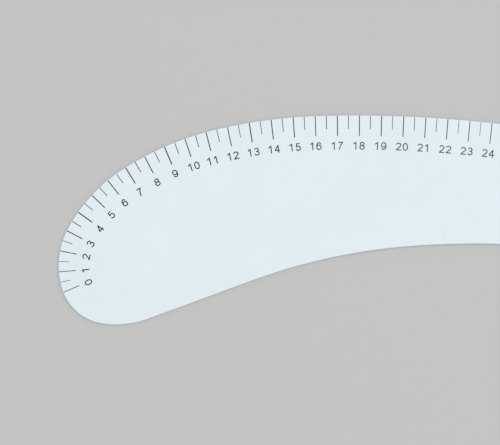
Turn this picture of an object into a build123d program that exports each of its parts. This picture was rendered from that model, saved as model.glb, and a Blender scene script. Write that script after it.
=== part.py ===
from build123d import *
import os
from math import cos, radians, sin

# A flat, curved drafting ruler. One sheet of flexible plastic has a fat round nose and
# narrows along a long arch to a square-cut end. A centimetre scale is printed on its
# upper face along the outer edge. Millimetres, +Z up, lying on its bare lower face.

# Sheet
sheet_thickness = 1.2
edge_round = 0.12
end_corner_radius = 5.0
hang_hole_radius = 3.0
hang_hole_inset = 9.5

# Straight stretch of the lower edge, next to the chin: its slope in degrees and its length
straight_slope = 20.2
straight_length = 50.0

# Outer edge, from the straight stretch round the nose to the narrow end, as arcs that
# hand over smoothly, each at its heading in degrees
chin_radius = 42.0
chin_heading = 172.3
nose_radius = 22.7
nose_heading = 106.3
brow_radius = 35.5
brow_heading = 62.0
crown_radius = 72.0
crown_heading = 33.5
shoulder_radius = 133.0
shoulder_heading = 13.7
back_radius = 230.0
back_heading = 1.6
rump_radius = 563.0
rump_heading = -8.5
tail_radius = 900.0
tail_heading = -14.0
tip_radius = 1500.0

# Lower edge, from the straight stretch to the narrow end, in the same way
throat_radius = 265.0
throat_heading = 4.7
belly_radius = 376.0
belly_heading = -3.6
flank_radius = 700.0
flank_heading = -8.6
under_tail_radius = 1100.0
under_tail_heading = -14.0
under_tip_radius = 1700.0

# Both edges run on past the narrow end, to this heading, and are then cut off square
run_out_heading = -32.0

# Scale: lengths along the outer edge, the first one from the start of the chin
zero_mark_distance = 43.83
scale_length = 600.0
mark_spacing = 10.0
end_margin = 20.0

# The whole print sits this far towards the nose from where the sheet was cut
print_drift = 1.56
print_bleed = 3.0

# Marks and numerals
ink_thickness = 0.05
long_mark_length = 9.25
long_mark_width = 0.42
short_mark_length = 6.15
short_mark_width = 0.29
numeral_depth = 13.65
numeral_offset = -0.25
numeral_height = 3.5
numeral_width = 2.42
numeral_pitch = 3.05
numeral_stroke = 0.46

# Shapes of the digits: shares of the reach from a digit's middle to a stroke's middle
stem_share = 0.25
flag_share = 0.85
flag_foot_share = 0.5
hook_share = 0.54
upper_bowl_share = 0.46
upper_width_share = 0.87
tongue_share = 0.35
stem_right_share = 0.58
crossbar_share = 0.52
lower_bowl_share = 0.65
five_corner_share = 0.62
five_bar_share = 0.8
leg_foot_share = 0.4

# Angles in degrees
half_turn = 180
quarter_turn = 90

# Angles in degrees at which the open strokes start and how far they turn
hook_start = 170
hook_turn = 205
three_start = 160
three_foot_turn = 255
five_start = -165
five_turn = 305
six_start = 30


# Unit vector of a heading in degrees
def direction(heading):
    return Vector(cos(radians(heading)), sin(radians(heading)))


# Chain of arcs that starts at a point with a heading, each tangent to the one before
def arc_chain(start, heading, arcs):
    for radius, end_heading in arcs:
        arc = JernArc(start, direction(heading), radius, end_heading - heading)
        start = arc @ 1
        heading = end_heading


# Edges of the outline, drawn from the point where the straight stretch meets the chin
chin_start = Vector(0, 0)
outer_arcs = [
    (chin_radius, chin_heading),
    (nose_radius, nose_heading),
    (brow_radius, brow_heading),
    (crown_radius, crown_heading),
    (shoulder_radius, shoulder_heading),
    (back_radius, back_heading),
    (rump_radius, rump_heading),
    (tail_radius, tail_heading),
    (tip_radius, run_out_heading),
]
lower_arcs = [
    (throat_radius, throat_heading),
    (belly_radius, belly_heading),
    (flank_radius, flank_heading),
    (under_tail_radius, under_tail_heading),
    (under_tip_radius, run_out_heading),
]

with BuildLine() as outer_edge:
    arc_chain(chin_start, straight_slope + half_turn, outer_arcs)

with BuildLine() as lower_edge:
    straight = Line(chin_start, chin_start + direction(straight_slope) * straight_length)
    arc_chain(straight @ 1, straight_slope, lower_arcs)

# The square cut stands across the outer edge, a margin past the last mark
scale_edge = outer_edge.wires()[0]
end_distance = zero_mark_distance + scale_length + end_margin
end_corner = scale_edge.position_at(end_distance, position_mode=PositionMode.LENGTH)
end_direction = scale_edge.tangent_at(end_distance, position_mode=PositionMode.LENGTH)

end_axis = Axis(end_corner, end_direction)

with BuildSketch() as outline:
    with BuildLine() as rim:
        add(outer_edge.line)
        add(lower_edge.line)
        split(bisect_by=Plane(origin=end_corner, z_dir=end_direction), keep=Keep.BOTTOM)
        end_corners = rim.vertices().sort_by(end_axis)[-2:]
        square_end = Line(end_corners[0].center(), end_corners[1].center())
    make_face()
    end_middle = square_end @ 0.5
    fillet(outline.vertices().sort_by(end_axis)[-2:], radius=end_corner_radius)

# The origin is the middle of the sheet's bounding box, on its lower face
sheet_middle = outline.sketch.bounding_box().center()
sheet_plane = Plane(origin=-sheet_middle)
hang_hole_centre = end_middle - sheet_middle - end_direction * hang_hole_inset

# The sheet, with its rims rounded over
with BuildPart() as blade:
    with BuildSketch(sheet_plane):
        add(outline.sketch)
    extrude(amount=sheet_thickness)
    fillet(blade.edges().filter_by(Axis.Z, reverse=True), radius=edge_round)
    with Locations(hang_hole_centre):
        Hole(radius=hang_hole_radius)

printed_face = blade.faces().sort_by(Axis.Z)[-1]


# Plane on the printed face at a place of the scale: x along the edge, y out of the sheet
def mark_plane(place):
    distance = zero_mark_distance + place
    foot = scale_edge.position_at(distance, position_mode=PositionMode.LENGTH)
    along = scale_edge.tangent_at(distance, position_mode=PositionMode.LENGTH)
    drift = Vector(-print_drift, 0, sheet_thickness)
    return Plane(origin=foot - sheet_middle + drift, x_dir=along, z_dir=(0, 0, 1))


# Ink of one mark, from its inner end to where the print bleeds past the edge
def mark_rectangle(length, width):
    with Locations((0, (print_bleed - length) / 2)):
        Rectangle(width, length + print_bleed)


long_places = [n * mark_spacing for n in range(int(scale_length / mark_spacing) + 1)]
short_places = [place + mark_spacing / 2 for place in long_places[:-1]]

# Marks of the whole centimetres, cut back to the flat of the printed face
with BuildPart() as centimetre_marks:
    with BuildSketch(*[mark_plane(place) for place in long_places]):
        mark_rectangle(long_mark_length, long_mark_width)
    extrude(amount=ink_thickness)
    extrude(printed_face, amount=ink_thickness, mode=Mode.INTERSECT)

# Shorter and finer marks halfway between them
with BuildPart() as half_centimetre_marks:
    with BuildSketch(*[mark_plane(place) for place in short_places]):
        mark_rectangle(short_mark_length, short_mark_width)
    extrude(amount=ink_thickness)
    extrude(printed_face, amount=ink_thickness, mode=Mode.INTERSECT)

# The digits are strokes of one width, drawn about the middle of their cell
half_width = numeral_width / 2
half_height = numeral_height / 2
half_stroke = numeral_stroke / 2
reach_x = half_width - half_stroke
reach_y = half_height - half_stroke
upper_bowl = upper_bowl_share * reach_y
middle_bowl = reach_y - upper_bowl
lower_bowl = lower_bowl_share * reach_y


# Closed oval stroke
def oval_ring(middle_y, radius_x, radius_y):
    with Locations((0, middle_y)):
        Ellipse(radius_x + half_stroke, radius_y + half_stroke)
        Ellipse(radius_x - half_stroke, radius_y - half_stroke, mode=Mode.SUBTRACT)


# Cut a stroke's overrun back to the cell
def trim_to_cell():
    Rectangle(numeral_width, numeral_height, mode=Mode.INTERSECT)


with BuildSketch() as zero:
    oval_ring(0, reach_x, reach_y)

with BuildSketch() as one:
    stem_top = Vector(stem_share * reach_x, reach_y)
    with BuildLine():
        Line(stem_top - (0, numeral_height), stem_top)
        Line(stem_top, (-flag_share * reach_x, flag_foot_share * reach_y))
    trace(line_width=numeral_stroke)
    trim_to_cell()

with BuildSketch() as two:
    hook_radius = hook_share * reach_y
    foot_corner = (-reach_x, -reach_y)
    with BuildLine():
        hook = EllipticalCenterArc(
            (0, reach_y - hook_radius), reach_x, hook_radius, hook_start, arc_size=-hook_turn
        )
        Line(hook @ 1, foot_corner)
        Line(foot_corner, (numeral_width, -reach_y))
    trace(line_width=numeral_stroke)
    trim_to_cell()

with BuildSketch() as three:
    upper_turn = -quarter_turn - three_start
    with BuildLine():
        bend = EllipticalCenterArc(
            (0, middle_bowl),
            upper_width_share * reach_x,
            upper_bowl,
            three_start,
            arc_size=upper_turn,
        )
        Line(bend @ 1, (-tongue_share * reach_x, middle_bowl - upper_bowl))
    trace(line_width=numeral_stroke)
    with BuildLine():
        EllipticalCenterArc(
            (0, middle_bowl - reach_y),
            reach_x,
            middle_bowl,
            quarter_turn,
            arc_size=-three_foot_turn,
        )
    trace(line_width=numeral_stroke)

with BuildSketch() as four:
    stem_right = stem_right_share * half_width
    stem_left = stem_right - numeral_stroke
    bar_low = -crossbar_share * half_height
    bar_high = bar_low + numeral_stroke
    with BuildLine():
        Polyline(
            (stem_right, -half_height),
            (stem_right, bar_low),
            (half_width, bar_low),
            (half_width, bar_high),
            (stem_right, bar_high),
            (stem_right, half_height),
            (stem_left, half_height),
            (-half_width, bar_high),
            (-half_width, bar_low),
            (stem_left, bar_low),
            (stem_left, -half_height),
            close=True,
        )
    make_face()
    # The slanting stroke is as wide as the stem, so this opening keeps its slope
    slope = (half_height - bar_high) / (stem_left + half_width)
    slant_width = numeral_stroke * (1 + slope**2) ** 0.5 / slope
    with BuildLine():
        Polyline(
            (stem_left, bar_high),
            (stem_left, half_height - slant_width * slope),
            (slant_width - half_width, bar_high),
            close=True,
        )
    make_face(mode=Mode.SUBTRACT)

with BuildSketch() as five:
    five_corner = (-five_corner_share * reach_x, reach_y)
    with BuildLine():
        belly = EllipticalCenterArc(
            (0, lower_bowl - reach_y), reach_x, lower_bowl, five_start, arc_size=five_turn
        )
    trace(line_width=numeral_stroke)
    with BuildLine():
        Line(belly @ 1, five_corner)
        Line(five_corner, (five_bar_share * reach_x, reach_y))
    trace(line_width=numeral_stroke)
    with Locations(belly @ 1):
        Circle(half_stroke)

with BuildSketch() as six:
    oval_ring(lower_bowl - reach_y, reach_x, lower_bowl)
    with BuildLine():
        EllipticalCenterArc((0, 0), reach_x, reach_y, six_start, arc_size=half_turn - six_start)
        Line((-reach_x, 0), (-reach_x, lower_bowl - reach_y))
    trace(line_width=numeral_stroke)

with BuildSketch() as seven:
    bar_end = (reach_x, reach_y)
    with BuildLine():
        Line((-reach_x, reach_y), bar_end)
        ThreePointArc(bar_end, (0, 0), (-leg_foot_share * reach_x, -numeral_height))
    trace(line_width=numeral_stroke)
    trim_to_cell()

with BuildSketch() as eight:
    oval_ring(middle_bowl, upper_width_share * reach_x, upper_bowl)
    oval_ring(middle_bowl - reach_y, reach_x, middle_bowl)

with BuildSketch() as nine:
    with Locations(Rotation(0, 0, half_turn)):
        add(six.sketch)

digits = [zero, one, two, three, four, five, six, seven, eight, nine]

# A numeral stands below each long mark, with its middle a little beside the mark's line
with BuildPart() as numerals:
    for number, place in enumerate(long_places):
        characters = str(number)
        first_x = numeral_offset - numeral_pitch * (len(characters) - 1) / 2
        with BuildSketch(mark_plane(place)):
            for column, character in enumerate(characters):
                with Locations((first_x + column * numeral_pitch, -numeral_depth)):
                    add(digits[int(character)].sketch)
    extrude(amount=ink_thickness)

os.makedirs("parts", exist_ok=True)
blade.part.label = "blade"
export_step(blade.part, "parts/blade.step")
centimetre_marks.part.label = "centimetre_marks"
export_step(centimetre_marks.part, "parts/centimetre_marks.step")
half_centimetre_marks.part.label = "half_centimetre_marks"
export_step(half_centimetre_marks.part, "parts/half_centimetre_marks.step")
numerals.part.label = "numerals"
export_step(numerals.part, "parts/numerals.step")
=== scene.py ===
from math import cos, pi, radians, sin, sqrt, tan
import bpy
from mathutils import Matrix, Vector
from mathutils.geometry import tessellate_polygon


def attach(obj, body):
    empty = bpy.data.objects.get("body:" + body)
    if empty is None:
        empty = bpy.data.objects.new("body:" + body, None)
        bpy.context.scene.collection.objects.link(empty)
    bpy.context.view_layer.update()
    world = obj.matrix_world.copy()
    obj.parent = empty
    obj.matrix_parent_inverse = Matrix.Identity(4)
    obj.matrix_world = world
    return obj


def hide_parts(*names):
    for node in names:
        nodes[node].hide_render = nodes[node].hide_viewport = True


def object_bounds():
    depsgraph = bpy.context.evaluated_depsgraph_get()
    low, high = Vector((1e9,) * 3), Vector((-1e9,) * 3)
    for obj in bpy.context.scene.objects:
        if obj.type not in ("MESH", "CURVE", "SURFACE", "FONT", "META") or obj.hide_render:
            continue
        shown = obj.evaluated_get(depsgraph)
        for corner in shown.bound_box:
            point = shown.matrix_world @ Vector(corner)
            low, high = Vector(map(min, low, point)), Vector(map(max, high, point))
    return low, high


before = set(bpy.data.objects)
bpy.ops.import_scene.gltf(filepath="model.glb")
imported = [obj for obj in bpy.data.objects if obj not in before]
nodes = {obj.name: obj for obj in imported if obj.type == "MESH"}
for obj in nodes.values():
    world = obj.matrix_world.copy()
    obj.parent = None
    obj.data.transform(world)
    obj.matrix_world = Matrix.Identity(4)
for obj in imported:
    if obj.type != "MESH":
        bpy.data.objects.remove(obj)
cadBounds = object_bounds()
print("stage: frame loaded")


# Outline: each edge is a chain of arcs, given as radius in millimetres and end heading in degrees

outline = {
    "chinPlace": (-238.758, -22.973),  # where the straight stretch of the lower edge meets the chin
    "straightSlope": 20.2,
    "straightLength": 50.0,
    "outerArcs": [
        (42.0, 172.3), (22.7, 106.3), (35.5, 62.0), (72.0, 33.5), (133.0, 13.7),
        (230.0, 1.6), (563.0, -8.5), (900.0, -14.0), (1500.0, -32.0)],
    "lowerArcs": [
        (265.0, 4.7), (376.0, -3.6), (700.0, -8.6), (1100.0, -14.0), (1700.0, -32.0)],
    "endDistance": 663.83,  # from the chin along the outer edge to the square cut
    "cornerRadius": 5.0,
    "cornerSteps": 14,
    "cornerClearance": 0.2,  # points closer than this to a rounded corner are left out
    "flatness": 0.004,  # how far a chord may stray from its arc
}


def direction(heading):
    return Vector((cos(radians(heading)), sin(radians(heading))))


def arcPoints(start, heading, arcs, straight=0.0):  # all arcs turn clockwise
    points = [start]
    if straight:
        points.append(start + direction(heading) * straight)
    for radius, endHeading in arcs:
        turn = radians(heading - endHeading)
        count = max(2, round(turn * radius / sqrt(8 * radius * outline["flatness"])))
        centre = points[-1] + direction(heading - 90) * radius
        for step in range(1, count + 1):
            angle = heading + (endHeading - heading) * step / count
            points.append(centre + direction(angle + 90) * radius)
        heading = endHeading
    return points


def cutByLength(points, length):
    kept = [points[0]]
    for point in points[1:]:
        step = (point - kept[-1]).length
        if step >= length:
            along = (point - kept[-1]) / step
            kept.append(kept[-1] + along * length)
            return kept, along
        length -= step
        kept.append(point)
    return kept, direction(0)


def cutByPlane(points, corner, normal):
    kept = [points[0]]
    for point in points[1:]:
        before = (kept[-1] - corner).dot(normal)
        after = (point - corner).dot(normal)
        if after >= 0:
            kept.append(kept[-1].lerp(point, before / (before - after)))
            return kept
        kept.append(point)
    return kept


def roundedCorner(before, corner, after, radius):  # arc that replaces a corner
    first = (before - corner).normalized()
    second = (after - corner).normalized()
    half = first.angle(second) / 2
    reach = radius / tan(half)
    centre = corner + (first + second).normalized() * radius / sin(half)
    start = corner + first * reach - centre
    finish = corner + second * reach - centre
    turn = start.angle_signed(finish)
    count = outline["cornerSteps"]
    arc = []
    for step in range(count + 1):
        angle = -turn * step / count
        arc.append(centre + Vector((
            start.x * cos(angle) - start.y * sin(angle),
            start.x * sin(angle) + start.y * cos(angle))))
    return arc, reach


def outlinePoints():
    start = Vector(outline["chinPlace"])
    slope = outline["straightSlope"]
    outer, along = cutByLength(
        arcPoints(start, 180 + slope, outline["outerArcs"]), outline["endDistance"])
    lower = cutByPlane(
        arcPoints(start, slope, outline["lowerArcs"], outline["straightLength"]), outer[-1], along)
    radius = outline["cornerRadius"]
    clearance = outline["cornerClearance"]
    upperArc, reach = roundedCorner(outer[-2], outer[-1], lower[-1], radius)
    outerKept = [point for point in outer if (point - outer[-1]).length > reach + clearance]
    lowerArc, reach = roundedCorner(outer[-1], lower[-1], lower[-2], radius)
    lowerKept = [point for point in lower if (point - lower[-1]).length > reach + clearance]
    return outerKept + upperArc + lowerArc + list(reversed(lowerKept))[:-1]


# Sheet: the outline with rounded rims, and a hole to hang it by

sheet = {
    "thickness": 1.2,
    "rimRadius": 0.12,
    "rimSteps": 4,
    "mitreLimit": 0.5,  # the least cosine taken at a bend, so an inset at most doubles there
    "holePlace": (266.171, -53.250),
    "holeRadius": 3.0,
    "holeEase": 0.12,
    "holeSteps": 96,
}


def rimProfile(radius, steps):  # inset and height from the lower face to the upper one
    quarter = [radians(90 * step / steps) for step in range(steps + 1)]
    low = [(radius * (1 - sin(angle)), radius * (1 - cos(angle))) for angle in quarter]
    return low + [(inset, sheet["thickness"] - height) for inset, height in reversed(low)]


def insetPoint(points, index, inset):
    count = len(points)
    back = (points[index] - points[index - 1]).normalized()
    ahead = (points[(index + 1) % count] - points[index]).normalized()
    along = (back + ahead).normalized()
    inward = Vector((along.y, -along.x))  # the outline runs clockwise
    return points[index] + inward * inset / max(sheet["mitreLimit"], along.dot(ahead))


def addRing(vertices, points, height):
    first = len(vertices)
    vertices.extend((point.x / 1000, point.y / 1000, height / 1000) for point in points)
    return list(range(first, len(vertices)))


def bandFaces(rings):
    faces = []
    for lower, upper in zip(rings, rings[1:]):
        for index in range(len(lower)):
            ahead = (index + 1) % len(lower)
            faces.append((lower[index], upper[index], upper[ahead], lower[ahead]))
    return faces


def capFaces(vertices, ring, holeRing, up):
    loops = [[Vector(vertices[index]) for index in loop] for loop in (ring, holeRing)]
    indices = ring + holeRing
    faces = []
    for corners in tessellate_polygon(loops):
        a, b, c = [indices[corner] for corner in corners]
        first = Vector(vertices[b]) - Vector(vertices[a])
        second = Vector(vertices[c]) - Vector(vertices[a])
        if (first.cross(second).z > 0) != up:
            b, c = c, b
        faces.append((a, b, c))
    return faces


def makeSheet():
    edge = outlinePoints()
    centre = Vector(sheet["holePlace"])
    vertices = []
    rings = []
    for inset, height in rimProfile(sheet["rimRadius"], sheet["rimSteps"]):
        points = [insetPoint(edge, index, inset) for index in range(len(edge))]
        rings.append(addRing(vertices, points, height))
    holeRings = []
    for inset, height in rimProfile(sheet["holeEase"], sheet["rimSteps"]):
        radius = sheet["holeRadius"] + inset
        turns = [2 * pi * step / sheet["holeSteps"] for step in range(sheet["holeSteps"])]
        points = [centre + Vector((cos(turn), sin(turn))) * radius for turn in turns]
        holeRings.append(addRing(vertices, points, height))
    bands = bandFaces(rings) + bandFaces(holeRings)
    caps = capFaces(vertices, rings[-1], holeRings[-1], True)
    caps += capFaces(vertices, rings[0], holeRings[0], False)
    mesh = bpy.data.meshes.new("sheet")
    mesh.from_pydata(vertices, [], bands + caps)
    mesh.update()
    for index, face in enumerate(mesh.polygons):
        face.use_smooth = index < len(bands)
    piece = bpy.data.objects.new("sheet", mesh)
    bpy.context.scene.collection.objects.link(piece)
    return piece


sheetPiece = makeSheet()
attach(sheetPiece, "root")
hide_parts("blade")
print("stage: sheet made")


# Shader and geometry values: a wire wraps a socket, and an expression on wires adds Math nodes

class Wire:
    def __init__(self, tree, socket):
        self.tree = tree
        self.socket = socket

    def other(self, name):  # another output of the same node
        return Wire(self.tree, self.socket.node.outputs[name])

    def __add__(self, value):
        return self.tree.math("ADD", self, value)

    def __radd__(self, value):
        return self.tree.math("ADD", value, self)

    def __sub__(self, value):
        return self.tree.math("SUBTRACT", self, value)

    def __rsub__(self, value):
        return self.tree.math("SUBTRACT", value, self)

    def __mul__(self, value):
        return self.tree.math("MULTIPLY", self, value)

    def __rmul__(self, value):
        return self.tree.math("MULTIPLY", value, self)


class NodeTree:
    def __init__(self, tree):
        self.tree = tree

    def node(self, kind, settings, sockets, output=0):
        made = self.tree.nodes.new(kind)
        for name, value in settings.items():
            if name == "stops":
                self.setStops(made, value)
            else:
                setattr(made, name, value)
        for key, value in sockets.items():
            if isinstance(value, Wire):
                self.tree.links.new(value.socket, made.inputs[key])
            else:
                made.inputs[key].default_value = value
        return Wire(self, made.outputs[output]) if len(made.outputs) else made

    def math(self, operation, first, second=0.0):
        return self.node("ShaderNodeMath", {"operation": operation}, {0: first, 1: second})

    def vector(self, operation, first, second):
        return self.node("ShaderNodeVectorMath", {"operation": operation}, {0: first, 1: second})

    def scaled(self, first, factor):
        return self.node("ShaderNodeVectorMath", {"operation": "SCALE"}, {
            "Vector": first, "Scale": factor})

    def fade(self, value, start, end):  # 1 up to start, and then smoothly down to 0 at end
        return self.node("ShaderNodeMapRange", {"interpolation_type": "SMOOTHSTEP"}, {
            "Value": value, "From Min": start, "From Max": end, "To Min": 1.0, "To Max": 0.0})

    def blended(self, share, first, second):
        if not isinstance(second, Wire):
            second = (*second, 1.0)
        return self.node("ShaderNodeMix", {"data_type": "RGBA"}, {
            "Factor": share, 6: first, 7: second}, 2)

    def stored(self, geometry, name, value, kind):
        return self.node("GeometryNodeStoreNamedAttribute", {"data_type": kind}, {
            "Geometry": geometry, "Name": name, "Value": value})

    def named(self, name, kind):
        return self.node("GeometryNodeInputNamedAttribute", {"data_type": kind}, {"Name": name})

    def setStops(self, made, stops):
        elements = made.color_ramp.elements
        while len(elements) < len(stops):
            elements.new(0.5)
        for element, (position, color) in zip(elements, stops):
            element.position = position
            element.color = (*color, 1.0)


def newMaterial(name):
    material = bpy.data.materials.new(name)
    material.use_nodes = True
    material.node_tree.nodes.clear()
    return material, NodeTree(material.node_tree)


# White sheet: satin plastic, with faint clouds in its tone, a fine grain, hairline scratches from
# use, and walls that still show the strokes of the cutter, tinted darker bluish grey as painted shade
# for the translucent cut edge

whiteSheet = {
    "color": (0.753, 0.839, 0.880),
    "shadeColor": (0.728, 0.818, 0.862),
    "cloudSize": 0.05,  # all sizes in metres
    "cloudStops": (0.3, 0.7),
    "roughness": 0.42,
    "rubbedRoughness": 0.08,  # how much rougher the rubbed patches are
    "rubbedSize": 0.03,
    "grainSize": 0.0006,
    "grainDepth": 0.00001,
    "scratchAngles": (12.0, 63.0, 128.0),  # degrees
    "scratchLength": 0.03,
    "scratchSpacing": 0.0016,
    "scratchWidth": 0.02,  # share of the spacing
    "scratchGaps": 0.01,
    "gapStops": (0.5, 0.62),
    "scratchDepth": 0.00001,
    "scratchRoughness": 0.2,
    "scratchColor": (0.640, 0.730, 0.780),
    "scratchTint": 0.1,
    # painted shade: the side walls are tinted darker bluish grey to stand in for light seen through the
    # translucent cut edge
    "wallPaintedShade": (0.690, 0.785, 0.835),
    "wallRoughness": 0.16,
    "cutterSpacing": 0.0004,
    "cutterStreak": 0.02,  # squeezes the noise in height, so the strokes run straight up
    "cutterDepth": 0.00002,
    "refraction": 1.49,
}


def hairlines(tree, place, angle):  # 1 on thin broken lines that run one way
    settings = whiteSheet
    lengthwise = 1 / settings["scratchLength"]
    turned = tree.node("ShaderNodeMapping", {}, {
        "Vector": place, "Rotation": (0.0, 0.0, radians(angle)), "Location": (angle, 0.0, 0.0)})
    stretched = tree.node("ShaderNodeMapping", {}, {
        "Vector": turned, "Scale": (lengthwise, 1 / settings["scratchSpacing"], lengthwise)})
    wave = tree.node("ShaderNodeTexNoise", {}, {"Vector": stretched, "Scale": 1.0, "Detail": 1.0})
    line = tree.fade(tree.math("ABSOLUTE", wave - 0.5), 0.0, settings["scratchWidth"])
    broken = tree.node("ShaderNodeTexNoise", {}, {
        "Vector": turned, "Scale": 1 / settings["scratchGaps"], "Detail": 1.0})
    return line * (1 - tree.fade(broken, *settings["gapStops"]))


def makeWhiteSheet():
    settings = whiteSheet
    material, tree = newMaterial("whiteSheet")
    place = tree.node("ShaderNodeTexCoord", {}, {}, "Object")
    height = tree.node("ShaderNodeSeparateXYZ", {}, {"Vector": place}, "Z")
    middle = sheet["thickness"] / 2000
    rim = sheet["rimRadius"] / 1000
    wall = tree.fade(tree.math("ABSOLUTE", height - middle), middle - rim, middle - rim / 2)

    cloud = tree.node("ShaderNodeTexNoise", {}, {
        "Vector": place, "Scale": 1 / settings["cloudSize"], "Detail": 3.0, "Roughness": 0.55})
    shadeStop, colorStop = settings["cloudStops"]
    tint = tree.node("ShaderNodeValToRGB", {"stops": [
        (shadeStop, settings["shadeColor"]), (colorStop, settings["color"])]}, {"Fac": cloud})
    # painted shade: the side walls take a darker bluish grey that stands in for the translucent look of
    # the cut edge
    tint = tree.blended(wall, tint, settings["wallPaintedShade"])

    scratches = 0.0
    for angle in settings["scratchAngles"]:
        scratches = scratches + hairlines(tree, place, angle)
    tint = tree.blended(scratches * settings["scratchTint"], tint, settings["scratchColor"])
    rubbed = tree.node("ShaderNodeTexNoise", {}, {
        "Vector": place, "Scale": 1 / settings["rubbedSize"], "Detail": 4.0})
    roughness = (settings["roughness"] + (rubbed - 0.5) * settings["rubbedRoughness"] * 2
                 + scratches * settings["scratchRoughness"] + wall * settings["wallRoughness"])

    grain = tree.node("ShaderNodeTexNoise", {}, {
        "Vector": place, "Scale": 1 / settings["grainSize"], "Detail": 2.0})
    upright = tree.node("ShaderNodeMapping", {}, {
        "Vector": place, "Scale": (1.0, 1.0, settings["cutterStreak"])})
    strokes = tree.node("ShaderNodeTexNoise", {}, {
        "Vector": upright, "Scale": 1 / settings["cutterSpacing"], "Detail": 2.0})
    relief = (grain * settings["grainDepth"] - scratches * settings["scratchDepth"]
              + strokes * wall * settings["cutterDepth"])
    bump = tree.node("ShaderNodeBump", {}, {"Height": relief, "Distance": 1.0}, "Normal")
    surface = tree.node("ShaderNodeBsdfPrincipled", {}, {
        "Base Color": tint, "Roughness": roughness, "Normal": bump, "IOR": settings["refraction"]})
    tree.node("ShaderNodeOutputMaterial", {}, {"Surface": surface})
    return material


# Scale ink: dark blue-black screen print, thinner in places, with a slightly pebbled surface

scaleInk = {
    "color": (0.0005, 0.008, 0.030),
    "thinColor": (0.001, 0.020, 0.080),
    "paleColor": (0.072, 0.112, 0.158),
    "paleFrom": (-0.235, -0.120),  # where along the ruler the print turns pale, in metres
    "paleTo": (-0.030, 0.100),  # and where it turns dark again
    "roughness": 0.6,
    "roughnessSpread": 0.2,
    "gloss": 0.1,  # a matte ink mirrors less than bare plastic
    "speckleSize": 0.0004,
    "speckleShare": 0.4,  # of the thinning, and the rest follows the density
    "densitySize": 0.012,
    "thinStops": (0.4, 0.7),
    "pebbleSize": 0.00015,
    "pebbleDepth": 0.000004,
}


def makeScaleInk():
    settings = scaleInk
    material, tree = newMaterial("scaleInk")
    place = tree.node("ShaderNodeTexCoord", {}, {}, "Object")
    speckle = tree.node("ShaderNodeTexNoise", {}, {
        "Vector": place, "Scale": 1 / settings["speckleSize"], "Detail": 3.0})
    density = tree.node("ShaderNodeTexNoise", {}, {
        "Vector": place, "Scale": 1 / settings["densitySize"], "Detail": 1.0})
    share = settings["speckleShare"]
    thinning = speckle * share + density * (1 - share)
    fullStop, thinStop = settings["thinStops"]
    tint = tree.node("ShaderNodeValToRGB", {"stops": [
        (fullStop, settings["color"]), (thinStop, settings["thinColor"])]}, {"Fac": thinning})
    along = tree.node("ShaderNodeSeparateXYZ", {}, {"Vector": place}, "X")
    pale = (1 - tree.fade(along, *settings["paleFrom"])) * tree.fade(along, *settings["paleTo"])
    tint = tree.blended(pale, tint, settings["paleColor"])
    pebble = tree.node("ShaderNodeTexNoise", {}, {
        "Vector": place, "Scale": 1 / settings["pebbleSize"], "Detail": 1.0})
    bump = tree.node("ShaderNodeBump", {}, {
        "Height": pebble * settings["pebbleDepth"], "Distance": 1.0}, "Normal")
    surface = tree.node("ShaderNodeBsdfPrincipled", {}, {
        "Base Color": tint, "Specular IOR Level": settings["gloss"], "Normal": bump,
        "Roughness": settings["roughness"] + (speckle - 0.5) * settings["roughnessSpread"]})
    tree.node("ShaderNodeOutputMaterial", {}, {"Surface": surface})
    return material


sheetMaterial = makeWhiteSheet()
inkMaterial = makeScaleInk()


def dress(piece, material):
    piece.data.materials.clear()
    piece.data.materials.append(material)


dress(sheetPiece, sheetMaterial)
dress(nodes["numerals"], inkMaterial)
print("stage: materials made")


# Marks: each runs from its inner end to the rim, and the print as a whole has drifted sideways

printing = {
    "zeroDistance": 43.83,  # from the chin along the outer edge to the zero mark
    "spacing": 10.0,
    "drift": -1.56,
    "filmThickness": 0.048,
    "filmEase": 0.012,
    "endRound": 0.12,
    "tipWidth": 0.2,  # share of the width that is left at the very tip
    "waver": 0.05,  # share of a mark's width
    "waverSize": 0.8,
    "variety": 0.12,  # how far the marks' widths differ from each other, as a share
    "noseLack": 0.38,  # how much thinner the first mark is, as a share
    "noseFade": 40.0,
    "wornLack": 0.26,  # how much thinner the print is in its faintest stretch, as a share
    "wornPlaces": (180.0, 250.0, 360.0),  # where along the scale it begins, is faintest and ends
    "steps": 9,
    "rimWall": 1.0,  # how far the wall that stops the marks stands up and down from the rim
    "longestReach": 50.0,
}
# The seeds put the heavier and lighter marks roughly where the photograph has them
longMarks = {"first": 0.0, "count": 61, "length": 9.25, "width": 0.44, "seed": 31294.0}
shortMarks = {"first": 5.0, "count": 60, "length": 6.15, "width": 0.30, "seed": 129.0}


def curveObject(name, points, closed):
    mesh = bpy.data.meshes.new(name)
    count = len(points)
    edges = [(index, (index + 1) % count) for index in range(count if closed else count - 1)]
    mesh.from_pydata([(point.x / 1000, point.y / 1000, 0.0) for point in points], edges, [])
    piece = bpy.data.objects.new(name, mesh)
    bpy.context.scene.collection.objects.link(piece)
    return piece


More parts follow.
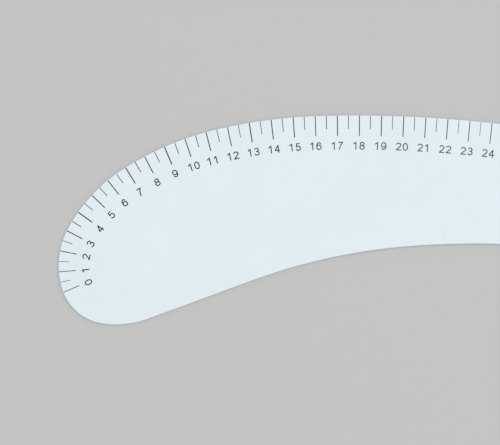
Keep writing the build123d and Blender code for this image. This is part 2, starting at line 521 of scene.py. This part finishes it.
def makeMarkTree():
    group = bpy.data.node_groups.new("markTree", "GeometryNodeTree")
    group.interface.new_socket("Geometry", in_out="OUTPUT", socket_type="NodeSocketGeometry")
    group.interface.new_socket("Geometry", in_out="INPUT", socket_type="NodeSocketGeometry")
    for name in ("First", "Spacing", "Length", "Width", "Thickness", "Ease", "Height",
                 "Drift", "End Round", "Tip Width", "Waver", "Waver Scale", "Variety", "Nose Lack",
                 "Nose Start", "Nose End", "Worn Lack", "Worn Start", "Worn Middle", "Worn End",
                 "Rim Wall", "Longest Reach", "Seed"):
        group.interface.new_socket(name, in_out="INPUT", socket_type="NodeSocketFloat")
    for name in ("Count", "Steps"):
        group.interface.new_socket(name, in_out="INPUT", socket_type="NodeSocketInt")
    group.interface.new_socket("Rim", in_out="INPUT", socket_type="NodeSocketObject")
    group.interface.new_socket("Material", in_out="INPUT", socket_type="NodeSocketMaterial")
    tree = NodeTree(group)
    given = tree.node("NodeGroupInput", {}, {})

    shift = tree.node("ShaderNodeCombineXYZ", {}, {"X": given.other("Drift")})
    path = tree.node("GeometryNodeMeshToCurve", {}, {"Mesh": given})
    path = tree.node("GeometryNodeTransform", {}, {"Geometry": path, "Translation": shift})
    along = given.other("First") + given.other("Spacing") * tree.node("GeometryNodeInputIndex", {}, {})
    foot = tree.node("GeometryNodeSampleCurve", {"mode": "LENGTH"}, {
        "Curves": path, "Length": along}, "Position")
    tangent = foot.other("Tangent")
    outward = tree.vector("CROSS_PRODUCT", (0.0, 0.0, 1.0), tangent)
    inner = tree.vector("SUBTRACT", foot, tree.scaled(outward, given.other("Length")))

    # The rim as a wall, which stops each mark
    rim = tree.node("GeometryNodeObjectInfo", {}, {"Object": given.other("Rim")}, "Geometry")
    rim = tree.node("GeometryNodeMeshToCurve", {}, {"Mesh": rim})
    post = tree.node("GeometryNodeCurvePrimitiveLine", {}, {
        "Start": tree.node("ShaderNodeCombineXYZ", {}, {"Y": given.other("Rim Wall") * -1}),
        "End": tree.node("ShaderNodeCombineXYZ", {}, {"Y": given.other("Rim Wall")})})
    wall = tree.node("GeometryNodeCurveToMesh", {}, {"Curve": rim, "Profile Curve": post})
    reach = tree.node("GeometryNodeRaycast", {}, {
        "Target Geometry": wall, "Source Position": inner, "Ray Direction": outward,
        "Ray Length": given.other("Longest Reach")}, "Hit Distance")

    points = tree.node("GeometryNodePoints", {}, {"Count": given.other("Count")})
    points = tree.stored(points, "inner", inner, "FLOAT_VECTOR")
    points = tree.stored(points, "outward", outward, "FLOAT_VECTOR")
    points = tree.stored(points, "reach", reach, "FLOAT")
    chance = tree.node("FunctionNodeRandomValue", {"data_type": "FLOAT"}, {
        2: -1.0, 3: 1.0, "Seed": given.other("Seed")}, 1)
    nose = tree.fade(along, given.other("Nose Start"), given.other("Nose End"))
    worn = ((1 - tree.fade(along, given.other("Worn Start"), given.other("Worn Middle")))
            * tree.fade(along, given.other("Worn Middle"), given.other("Worn End")))
    weight = (1 + chance * given.other("Variety")) * (1 - nose * given.other("Nose Lack"))
    weight = weight * (1 - worn * given.other("Worn Lack"))
    points = tree.stored(points, "weight", weight, "FLOAT")
    line = tree.node("GeometryNodeMeshLine", {}, {"Count": given.other("Steps")})
    step = tree.node("GeometryNodeInputIndex", {}, {})
    share = tree.math("DIVIDE", step, given.other("Steps") - 1)
    share = share * share * share  # close together near the inner end
    line = tree.stored(line, "share", share, "FLOAT")
    marks = tree.node("GeometryNodeInstanceOnPoints", {}, {"Points": points, "Instance": line})
    marks = tree.node("GeometryNodeRealizeInstances", {}, {"Geometry": marks})
    gone = tree.named("reach", "FLOAT") * tree.named("share", "FLOAT")
    place = tree.vector("ADD", tree.named("inner", "FLOAT_VECTOR"),
                        tree.scaled(tree.named("outward", "FLOAT_VECTOR"), gone))
    lift = tree.node("ShaderNodeCombineXYZ", {}, {"Z": given.other("Height")})
    marks = tree.node("GeometryNodeSetPosition", {}, {
        "Geometry": marks, "Position": tree.vector("ADD", place, lift)})
    marks = tree.node("GeometryNodeMeshToCurve", {}, {"Mesh": marks})
    marks = tree.node("GeometryNodeSetCurveNormal", {"mode": "Z_UP"}, {"Curve": marks})

    # Round inner ends, and a width that wavers a little
    lack = tree.math("MAXIMUM", 1 - tree.math("DIVIDE", gone, given.other("End Round")), 0.0)
    roundness = tree.math("SQRT", tree.math("MAXIMUM", 1 - lack * lack, 0.0))
    roundness = tree.math("MAXIMUM", roundness, given.other("Tip Width"))
    noise = tree.node("ShaderNodeTexNoise", {"noise_dimensions": "4D"}, {
        "Scale": given.other("Waver Scale"), "W": given.other("Seed"), "Detail": 1.0})
    width = roundness * (1 + (noise - 0.5) * given.other("Waver") * 2) * tree.named("weight", "FLOAT")
    marks = tree.stored(marks, "widening", width, "FLOAT")
    film = tree.node("GeometryNodeCurvePrimitiveQuadrilateral", {}, {
        "Width": given.other("Width"), "Height": given.other("Thickness")})
    film = tree.node("GeometryNodeFilletCurve", {"mode": "POLY"}, {
        "Curve": film, "Radius": given.other("Ease"), "Count": 1})
    raised = tree.node("ShaderNodeCombineXYZ", {}, {"Y": given.other("Thickness") * -0.5})
    film = tree.node("GeometryNodeTransform", {}, {"Geometry": film, "Translation": raised})
    marks = tree.node("GeometryNodeCurveToMesh", {}, {
        "Curve": marks, "Profile Curve": film, "Fill Caps": True, "Scale": width})

    # The scale swells the film upwards too, so each point goes back to its height
    rise = tree.node("ShaderNodeSeparateXYZ", {}, {
        "Vector": tree.node("GeometryNodeInputPosition", {}, {})}, "Z") - given.other("Height")
    level = tree.math("DIVIDE", rise, tree.named("widening", "FLOAT")) - rise
    marks = tree.node("GeometryNodeSetPosition", {}, {
        "Geometry": marks, "Offset": tree.node("ShaderNodeCombineXYZ", {}, {"Z": level})})
    marks = tree.node("GeometryNodeRealizeInstances", {}, {"Geometry": marks})
    marks = tree.node("GeometryNodeSetMaterial", {}, {
        "Geometry": marks, "Material": given.other("Material")})
    tree.node("NodeGroupOutput", {}, {0: marks})
    return group


def grown(piece, group, values):  # the modifier's result as a plain mesh
    modifier = piece.modifiers.new("nodes", "NODES")
    modifier.node_group = group
    for item in group.interface.items_tree:
        if item.in_out == "INPUT" and item.name in values:
            modifier[item.identifier] = values[item.name]
    evaluated = piece.evaluated_get(bpy.context.evaluated_depsgraph_get())
    mesh = bpy.data.meshes.new_from_object(evaluated)
    piece.modifiers.remove(modifier)
    return mesh


def makeMarks(name, nodeName, settings, group, rim):
    outer = arcPoints(Vector(outline["chinPlace"]), 180 + outline["straightSlope"], outline["outerArcs"])
    piece = curveObject(name, outer, False)
    piece.data = grown(piece, group, {
        "First": (printing["zeroDistance"] + settings["first"]) / 1000,
        "Spacing": printing["spacing"] / 1000,
        "Length": settings["length"] / 1000,
        "Width": settings["width"] / 1000,
        "Thickness": printing["filmThickness"] / 1000,
        "Ease": printing["filmEase"] / 1000,
        "Height": sheet["thickness"] / 1000,
        "Drift": printing["drift"] / 1000,
        "End Round": printing["endRound"] / 1000,
        "Tip Width": printing["tipWidth"],
        "Waver": printing["waver"],
        "Waver Scale": 1000 / printing["waverSize"],
        "Variety": printing["variety"],
        "Nose Lack": printing["noseLack"],
        "Nose Start": printing["zeroDistance"] / 1000,
        "Nose End": (printing["zeroDistance"] + printing["noseFade"]) / 1000,
        "Worn Lack": printing["wornLack"],
        "Worn Start": (printing["zeroDistance"] + printing["wornPlaces"][0]) / 1000,
        "Worn Middle": (printing["zeroDistance"] + printing["wornPlaces"][1]) / 1000,
        "Worn End": (printing["zeroDistance"] + printing["wornPlaces"][2]) / 1000,
        "Rim Wall": printing["rimWall"] / 1000,
        "Longest Reach": printing["longestReach"] / 1000,
        "Seed": settings["seed"],
        "Count": settings["count"],
        "Steps": printing["steps"],
        "Rim": rim,
        "Material": inkMaterial,
    })
    piece.data.name = name
    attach(piece, "root")
    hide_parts(nodeName)


def makeScale():
    edge = outlinePoints()
    inset = [insetPoint(edge, index, sheet["rimRadius"]) for index in range(len(edge))]
    rim = curveObject("rimLine", inset, True)
    group = makeMarkTree()
    makeMarks("centimetreMarks", "centimetre_marks", longMarks, group, rim)
    makeMarks("halfCentimetreMarks", "half_centimetre_marks", shortMarks, group, rim)
    bpy.data.objects.remove(rim)


makeScale()
print("stage: marks made")


# Floor and light

studio = {
    "floorColor": (0.54, 0.54, 0.535),
    "floorRoughness": 0.9,
    "floorSize": 60.0,
    "floorDrop": 0.00002,
    "worldStrength": 0.75,
    "keyPower": 33.0,
    "keySize": 3.2,
    "keyPlace": (1.3, 1.2, 3.0),
    "fillPower": 12.5,
    "fillSize": 4.0,
    "fillPlace": (-1.2, -1.2, 3.0),
}


def makeFloor():
    half = studio["floorSize"] / 2
    low = cadBounds[0][2] - studio["floorDrop"]
    corners = [(-half, -half, low), (half, -half, low), (half, half, low), (-half, half, low)]
    mesh = bpy.data.meshes.new("floor")
    mesh.from_pydata(corners, [], [(0, 1, 2, 3)])
    floor = bpy.data.objects.new("floor", mesh)
    bpy.context.scene.collection.objects.link(floor)
    material, tree = newMaterial("floorPaper")
    surface = tree.node("ShaderNodeBsdfPrincipled", {}, {
        "Base Color": (*studio["floorColor"], 1.0), "Roughness": studio["floorRoughness"]})
    tree.node("ShaderNodeOutputMaterial", {}, {"Surface": surface})
    dress(floor, material)


def makeLamp(name, power, size, place):
    data = bpy.data.lights.new(name, "AREA")
    data.shape = "DISK"
    data.size = size
    data.energy = power
    lamp = bpy.data.objects.new(name, data)
    lamp.location = place
    lamp.rotation_euler = (-Vector(place)).to_track_quat("-Z", "Y").to_euler()
    bpy.context.scene.collection.objects.link(lamp)


def makeWorld():
    world = bpy.data.worlds.new("studioWorld")
    world.use_nodes = True
    world.node_tree.nodes.clear()
    tree = NodeTree(world.node_tree)
    light = tree.node("ShaderNodeBackground", {}, {
        "Color": (1.0, 1.0, 1.0, 1.0), "Strength": studio["worldStrength"]})
    seen = tree.node("ShaderNodeBackground", {}, {
        "Color": (*studio["floorColor"], 1.0), "Strength": studio["worldStrength"]})
    rays = tree.node("ShaderNodeLightPath", {}, {}, "Is Camera Ray")
    mixed = tree.node("ShaderNodeMixShader", {}, {"Fac": rays, 1: light, 2: seen})
    tree.node("ShaderNodeOutputWorld", {}, {"Surface": mixed})
    bpy.context.scene.world = world


makeFloor()
makeLamp("keyLamp", studio["keyPower"], studio["keySize"], studio["keyPlace"])
makeLamp("fillLamp", studio["fillPower"], studio["fillSize"], studio["fillPlace"])
makeWorld()
print("stage: floor and lights made")


# Camera straight above the nose end, as the photograph was taken

camera = {
    "lens": 100.0,  # mm, on a 36 mm sensor
    "sensor": 36.0,
    "viewWidth": 0.2257,  # metres across the picture, at the printed face
    "middle": (-0.19267, 0.02046),
}


def makeCamera():
    data = bpy.data.cameras.new("camera")
    data.lens = camera["lens"]
    data.sensor_width = camera["sensor"]
    eye = bpy.data.objects.new("camera", data)
    height = camera["viewWidth"] * camera["lens"] / camera["sensor"]
    eye.location = (*camera["middle"], cadBounds[1][2] + height)
    bpy.context.scene.collection.objects.link(eye)
    bpy.context.scene.camera = eye


makeCamera()
bpy.context.scene.view_settings.view_transform = "Standard"
print("stage: camera set")
